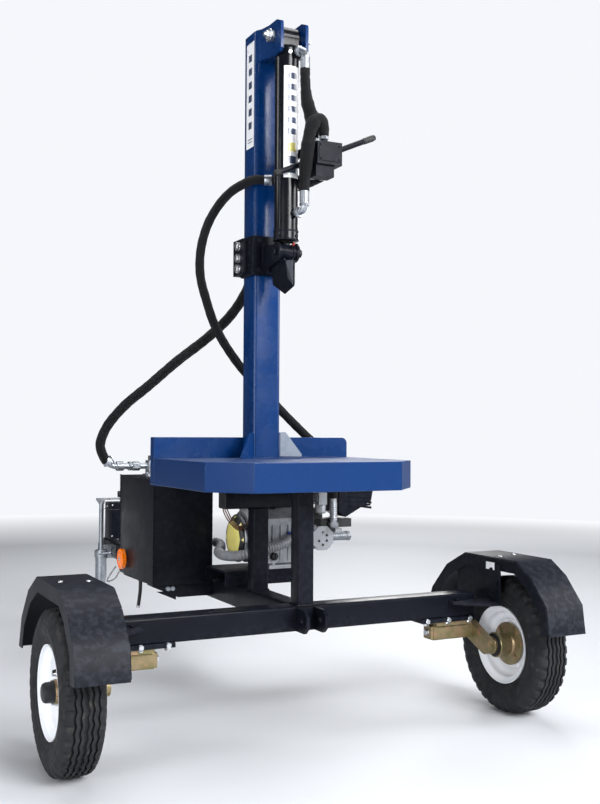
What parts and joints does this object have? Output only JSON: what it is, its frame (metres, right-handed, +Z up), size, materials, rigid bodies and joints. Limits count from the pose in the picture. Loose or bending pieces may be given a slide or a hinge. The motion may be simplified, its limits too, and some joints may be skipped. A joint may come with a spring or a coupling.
{
  "type": "towable hydraulic log splitter",
  "caption": "Upright hydraulic log splitter on a two-wheel trailer chassis: mast, ram and blade over a round-cornered table, with engine, pump and oil tank.",
  "frame": {"origin": "on the floor, at the middle of the object's bounding box", "axes": "+Z up, +Y forwards along the drawbar to the hitch, +X to the side of the control valve; the wheels turn about X"},
  "size_m": [1.488, 2.371, 2.074],
  "materials": {
    "frame_black": "satin",
    "blue_paint": "gloss",
    "white_paint": "satin",
    "gold_zinc": "satin",
    "zinc_plate": "satin",
    "chrome_rod": "polished",
    "cast_aluminium": "matte",
    "tyre_rubber": "matte",
    "hose_rubber": "matte",
    "suction_hose": "matte",
    "black_plastic": "satin",
    "orange_lens": "gloss"
  },
  "bodies": {
    "frame": {"axle_beam": "frame_black", "drawbar": "frame_black", "front_post": "frame_black", "rear_post": "frame_black", "cross_member": "frame_black", "ram_barrel": "frame_black", "control_valve": "frame_black", "valve_bracket": "frame_black", "oil_tank": "frame_black", "tank_bracket": "frame_black", "engine_base": "frame_black", "silencer": "frame_black", "mudguard_left": "frame_black", "mudguard_right": "frame_black", "hitch_head": "frame_black", "table_top": "blue_paint", "rear_fence": "blue_paint", "mast": "blue_paint", "cheek_left": "blue_paint", "cheek_right": "blue_paint", "suspension_left": "gold_zinc", "suspension_right": "gold_zinc", "pivot_bolt": "zinc_plate", "port_elbow_upper": "zinc_plate", "port_elbow_lower": "zinc_plate", "tank_return_head": "zinc_plate", "jockey_sleeve": "zinc_plate", "engine_block": "cast_aluminium", "engine_cylinder": "cast_aluminium", "fan_housing": "cast_aluminium", "pump_flange": "cast_aluminium", "hydraulic_pump": "cast_aluminium", "hose_pressure": "hose_rubber", "hose_return": "hose_rubber", "hose_ram_upper": "hose_rubber", "hose_ram_lower": "hose_rubber", "hose_suction": "suction_hose", "recoil_cover": "black_plastic", "fuel_tank": "black_plastic", "air_cleaner": "black_plastic", "tool_box": "black_plastic", "side_reflector": "orange_lens"},
    "carriage": {"ram_rod": "chrome_rod", "carriage_slide": "frame_black", "carriage_clamp": "frame_black", "splitting_blade": "frame_black"},
    "lever": {"control_lever": "frame_black"},
    "arm_left": {"suspension_arm_left": "gold_zinc"},
    "arm_right": {"suspension_arm_right": "gold_zinc"},
    "wheel_left": {"hub_left": "gold_zinc", "rim_left": "white_paint", "tyre_left": "tyre_rubber"},
    "wheel_right": {"hub_right": "gold_zinc", "rim_right": "white_paint", "tyre_right": "tyre_rubber"},
    "jockey_crank": {"jockey_crank": "zinc_plate"},
    "jockey_leg": {"jockey_leg": "zinc_plate"},
    "jockey_fork": {"jockey_fork": "zinc_plate"},
    "jockey_wheel": {"jockey_wheel": "hose_rubber"},
    "latch": {"hitch_latch": "zinc_plate"}
  },
  "joints": [
    {"name": "ram_stroke", "type": "slide", "parent": "frame", "child": "carriage", "axis": [0, 0, 1], "range_m": [-0.455, 0]},
    {"name": "valve_lever", "type": "hinge", "parent": "frame", "child": "lever", "pos_m": [0.086, -0.7755, 1.6555], "axis": [0, 1, 0], "range_deg": [-10, 10], "stiffness_Nm_per_rad": 20},
    {"name": "suspension_left", "type": "hinge", "parent": "frame", "child": "arm_left", "pos_m": [-0.588, -0.8335, 0.243], "axis": [1, 0, 0], "range_deg": [-10, 6], "stiffness_Nm_per_rad": 4000, "springref_deg": 0.95},
    {"name": "wheel_spin_left", "type": "hinge", "parent": "arm_left", "child": "wheel_left", "pos_m": [-0.6825, -0.9155, 0.204], "axis": [1, 0, 0], "continuous": true},
    {"name": "suspension_right", "type": "hinge", "parent": "frame", "child": "arm_right", "pos_m": [0.588, -0.8335, 0.243], "axis": [1, 0, 0], "range_deg": [-10, 6], "stiffness_Nm_per_rad": 4000, "springref_deg": 0.95},
    {"name": "wheel_spin_right", "type": "hinge", "parent": "arm_right", "child": "wheel_right", "pos_m": [0.6825, -0.9155, 0.204], "axis": [1, 0, 0], "continuous": true},
    {"name": "jockey_crank_turn", "type": "hinge", "parent": "frame", "child": "jockey_crank", "pos_m": [-0.092, 0.9185, 0.403], "axis": [0, 0, 1], "range_deg": [-1815, 2720]},
    {"name": "jockey_leg_travel", "type": "slide", "parent": "frame", "child": "jockey_leg", "axis": [0, 0, 1], "range_m": [-0.03, 0.045]},
    {"name": "jockey_swivel", "type": "hinge", "parent": "jockey_leg", "child": "jockey_fork", "pos_m": [-0.092, 0.9185, 0.153], "axis": [0, 0, 1], "continuous": true},
    {"name": "jockey_wheel_spin", "type": "hinge", "parent": "jockey_fork", "child": "jockey_wheel", "pos_m": [-0.092, 0.9185, 0.075], "axis": [1, 0, 0], "continuous": true},
    {"name": "hitch_latch_lift", "type": "hinge", "parent": "frame", "child": "latch", "pos_m": [0, 1.1195, 0.368], "axis": [1, 0, 0], "range_deg": [-35, 0]}
  ],
  "couplings": [
    {"joint": "jockey_crank_turn", "follows": "jockey_leg_travel", "rad_per_m": 1050}
  ]
}
